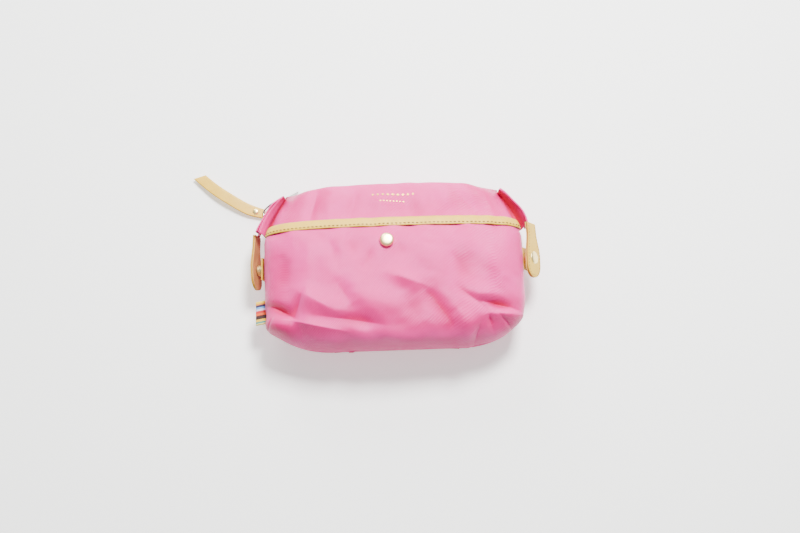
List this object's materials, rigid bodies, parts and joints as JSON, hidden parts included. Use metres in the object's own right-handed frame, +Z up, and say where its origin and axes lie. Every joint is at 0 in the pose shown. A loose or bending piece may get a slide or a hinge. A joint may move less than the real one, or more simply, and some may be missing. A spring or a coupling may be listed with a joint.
{
  "type": "makeup bag",
  "caption": "Soft pink zip-top makeup bag lying on its back, with a leather-bound snap pocket, folded zip ears with leather end tabs, a leather zip pull and a striped ribbon tag",
  "frame": {"origin": "centre of the flat stretch of the back panel, on the surface the bag lies on", "axes": "+X across the bag to the viewer's right, +Y from the base to the zip, +Z up out of the front panel"},
  "size_m": [0.284, 0.1575, 0.0627],
  "materials": {
    "cloth": "coated twill with a soft satin sheen",
    "lining": "matte woven lining",
    "leather": "smooth veg-tan, satin",
    "teeth": "moulded coil",
    "tape": "woven zip tape",
    "metal": "polished",
    "gold": "polished pale gold plate",
    "ribbon": "woven multicolour stripes"
  },
  "bodies": {
    "root": {"back_panel": "cloth", "back_lining": "lining", "front_panel": "cloth", "front_lining": "lining", "left_gusset_fold": "cloth", "right_gusset_fold": "cloth", "back_tape": "tape", "back_teeth": "teeth", "left_end_tape": "tape", "right_end_tape": "tape", "left_end_teeth": "teeth", "right_end_teeth": "teeth", "left_stud_patch": "leather", "right_stud_patch": "leather", "left_stud": "gold", "right_stud": "gold", "pocket_snap_post": "gold"},
    "front_mouth": {"front_lip": "cloth", "lip_lining": "lining", "front_tape": "tape", "front_teeth": "teeth"},
    "pocket": {"pocket_panel": "cloth", "pocket_lining": "lining", "pocket_binding": "leather", "pocket_snap_cap": "gold"},
    "left_ear": {"left_ear_front_fold": "cloth", "left_ear_zip_tape": "tape", "left_ear_back_fold": "cloth"},
    "right_ear": {"right_ear_front_fold": "cloth", "right_ear_zip_tape": "tape", "right_ear_back_fold": "cloth"},
    "left_tab": {"left_tab_inner": "leather", "left_tab_outer": "leather", "left_socket": "gold", "left_snap_cap": "gold"},
    "right_tab": {"right_tab_inner": "leather", "right_tab_outer": "leather", "right_socket": "gold", "right_snap_cap": "gold"},
    "slider": {"slider_body": "metal", "slider_bridge": "metal"},
    "tab_link": {"metal_tab": "metal"},
    "ring": {"pull_ring": "metal"},
    "leather_pull": {"pull_leather_back": "leather", "pull_leather_front": "leather", "pull_rivet": "gold"},
    "ribbon": {"ribbon_tag": "ribbon"}
  },
  "joints": [
    {"name": "mouth_open", "type": "hinge", "parent": "root", "child": "front_mouth", "pos_m": [0, 0.0315, 0.0525], "axis": [1, 0, 0], "range_deg": [0, 30]},
    {"name": "pocket_open", "type": "hinge", "parent": "root", "child": "pocket", "pos_m": [0, -0.0445, 0.045], "axis": [1, 0, 0], "range_deg": [0, 12]},
    {"name": "left_ear_fold", "type": "hinge", "parent": "root", "child": "left_ear", "pos_m": [-0.0875, 0.0615, 0.0235], "axis": [0, 0, -1], "range_deg": [0, 50]},
    {"name": "right_ear_fold", "type": "hinge", "parent": "root", "child": "right_ear", "pos_m": [0.0875, 0.0615, 0.0235], "axis": [0, 0, 1], "range_deg": [0, 50]},
    {"name": "left_tab_unsnap", "type": "hinge", "parent": "left_ear", "child": "left_tab", "pos_m": [-0.1107, 0.031, 0.0197], "axis": [0.243, 0, -0.97], "range_deg": [0, 55]},
    {"name": "right_tab_unsnap", "type": "hinge", "parent": "right_ear", "child": "right_tab", "pos_m": [0.1106, 0.031, 0.0323], "axis": [-0.6, 0, 0.8], "range_deg": [0, 80]},
    {"name": "slider_travel", "type": "slide", "parent": "root", "child": "slider", "axis": [1, 0, 0], "range_m": [0, 0.152]},
    {"name": "metal_tab_swing", "type": "hinge", "parent": "slider", "child": "tab_link", "pos_m": [-0.0775, 0.0672, 0.016], "axis": [0, 0, -1], "range_deg": [0, 50]},
    {"name": "ring_swing", "type": "hinge", "parent": "tab_link", "child": "ring", "pos_m": [-0.092, 0.064, 0.005], "axis": [0, 0, -1], "range_deg": [0, 25]},
    {"name": "leather_pull_swing", "type": "hinge", "parent": "ring", "child": "leather_pull", "pos_m": [-0.1029, 0.0551, 0.004], "axis": [0, 0, -1], "range_deg": [0, 30]},
    {"name": "ribbon_flex", "type": "hinge", "parent": "root", "child": "ribbon", "pos_m": [-0.1023, -0.0335, 0.026], "axis": [0, 1, 0], "range_deg": [-35, 35], "stiffness_Nm_per_rad": 0.0005}
  ]
}
